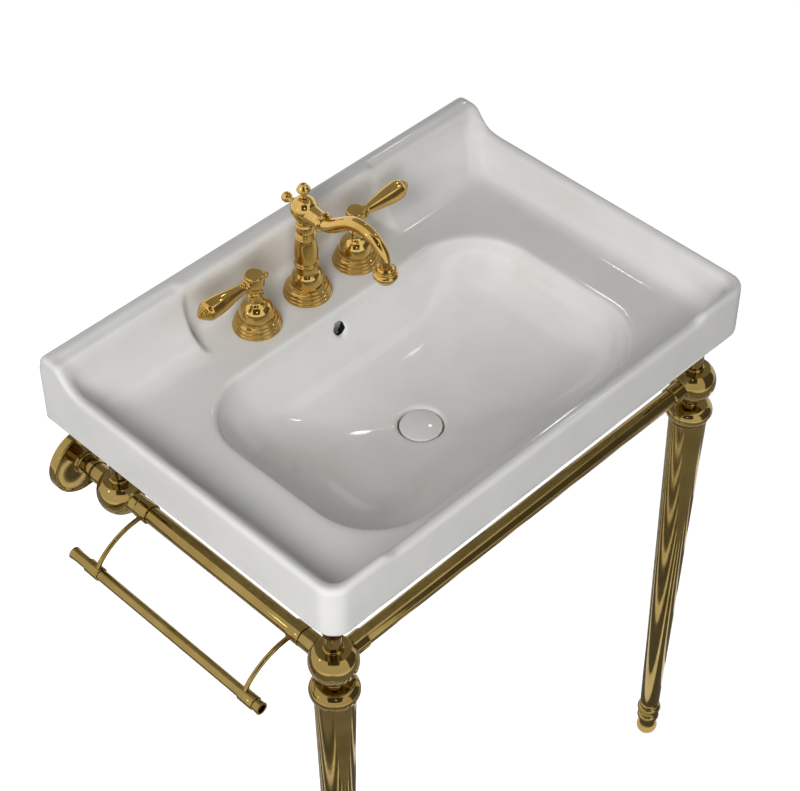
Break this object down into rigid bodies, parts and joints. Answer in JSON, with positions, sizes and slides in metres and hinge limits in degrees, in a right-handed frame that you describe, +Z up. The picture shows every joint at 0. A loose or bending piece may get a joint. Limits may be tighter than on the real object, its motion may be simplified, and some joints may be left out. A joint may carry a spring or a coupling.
{
  "type": "console basin",
  "caption": "White ceramic console basin on a turned brass stand with towel bar, lever faucet and pop-up waste.",
  "frame": {"origin": "on the wall plane, midway between the two wall bolt holes of the basin", "axes": "+X to the right when facing the basin, +Y into the wall, +Z up"},
  "size_m": [0.7486, 0.476, 0.9977],
  "materials": {
    "vitreous_china": "white gloss glaze",
    "faucet_brass": "polished gold-coloured brass",
    "stand_brass": "polished brass",
    "plain_brass": "turned, unpolished",
    "black_rubber": "moulded",
    "stainless_steel": "bright drawn",
    "copper": "drawn copper tube"
  },
  "bodies": {
    "base": {"basin": "vitreous_china", "spout_column": "faucet_brass", "spout_ball": "faucet_brass", "spout_arm": "faucet_brass", "aerator_shell": "faucet_brass", "aerator_screen": "stainless_steel", "rear_finial": "faucet_brass", "rod_guide": "plain_brass", "spout_shank": "plain_brass", "spout_tee": "plain_brass", "deck_washers": "black_rubber", "deck_locknuts": "plain_brass", "left_bell": "faucet_brass", "right_bell": "faucet_brass", "left_valve": "plain_brass", "right_valve": "plain_brass", "valve_cartridges": "stainless_steel", "cross_tubes": "copper", "tube_nuts": "plain_brass", "drain_flange": "faucet_brass", "drain_gasket": "black_rubber", "drain_locknut": "plain_brass", "drain_body": "plain_brass", "drain_tailpiece": "plain_brass", "pivot_nut": "plain_brass", "front_left_ball": "stand_brass", "front_right_ball": "stand_brass", "rear_left_ball": "stand_brass", "rear_right_ball": "stand_brass", "leg_bells": "stand_brass", "left_leg": "stand_brass", "right_leg": "stand_brass", "leg_feet": "stand_brass", "support_posts": "stand_brass", "support_pads": "black_rubber", "front_rail": "stand_brass", "left_rail": "stand_brass", "right_rail": "stand_brass", "wall_flanges": "stand_brass", "wall_plates": "stand_brass", "towel_bar": "stand_brass", "front_towel_arm": "stand_brass", "rear_towel_arm": "stand_brass"},
    "left_handle": {"left_hub": "faucet_brass", "left_lever": "faucet_brass", "left_handle_screw": "stainless_steel", "left_stem": "plain_brass"},
    "right_handle": {"right_hub": "faucet_brass", "right_lever": "faucet_brass", "right_handle_screw": "stainless_steel", "right_stem": "plain_brass"},
    "lift": {"lift_rod": "faucet_brass", "lift_knob": "faucet_brass", "lift_strap": "plain_brass", "strap_screw": "plain_brass", "spring_clip": "stainless_steel"},
    "pivot": {"pivot_rod": "stainless_steel"},
    "stopper": {"stopper_stem": "plain_brass", "stopper_seal": "black_rubber", "stopper_cap": "vitreous_china"}
  },
  "joints": [
    {"name": "left_handle_turn", "type": "hinge", "parent": "base", "child": "left_handle", "pos_m": [-0.0825, -0.077, 0.051], "axis": [0, 0, 1], "range_deg": [0, 90]},
    {"name": "right_handle_turn", "type": "hinge", "parent": "base", "child": "right_handle", "pos_m": [0.0825, -0.077, 0.051], "axis": [0, 0, -1], "range_deg": [0, 90]},
    {"name": "lift_rod_slide", "type": "slide", "parent": "base", "child": "lift", "axis": [0, 0, 1], "range_m": [0, 0.0286]},
    {"name": "pivot_rod_tilt", "type": "hinge", "parent": "base", "child": "pivot", "pos_m": [0, -0.239, -0.1141], "axis": [1, 0, 0], "range_deg": [0, 10.45]},
    {"name": "stopper_slide", "type": "slide", "parent": "base", "child": "stopper", "axis": [0, 0, 1], "range_m": [-0.00601, 0]}
  ],
  "couplings": [
    {"joint": "pivot_rod_tilt", "follows": "lift_rod_slide", "rad_per_m": 6.3661},
    {"joint": "stopper_slide", "follows": "lift_rod_slide", "ratio": -0.20979}
  ]
}
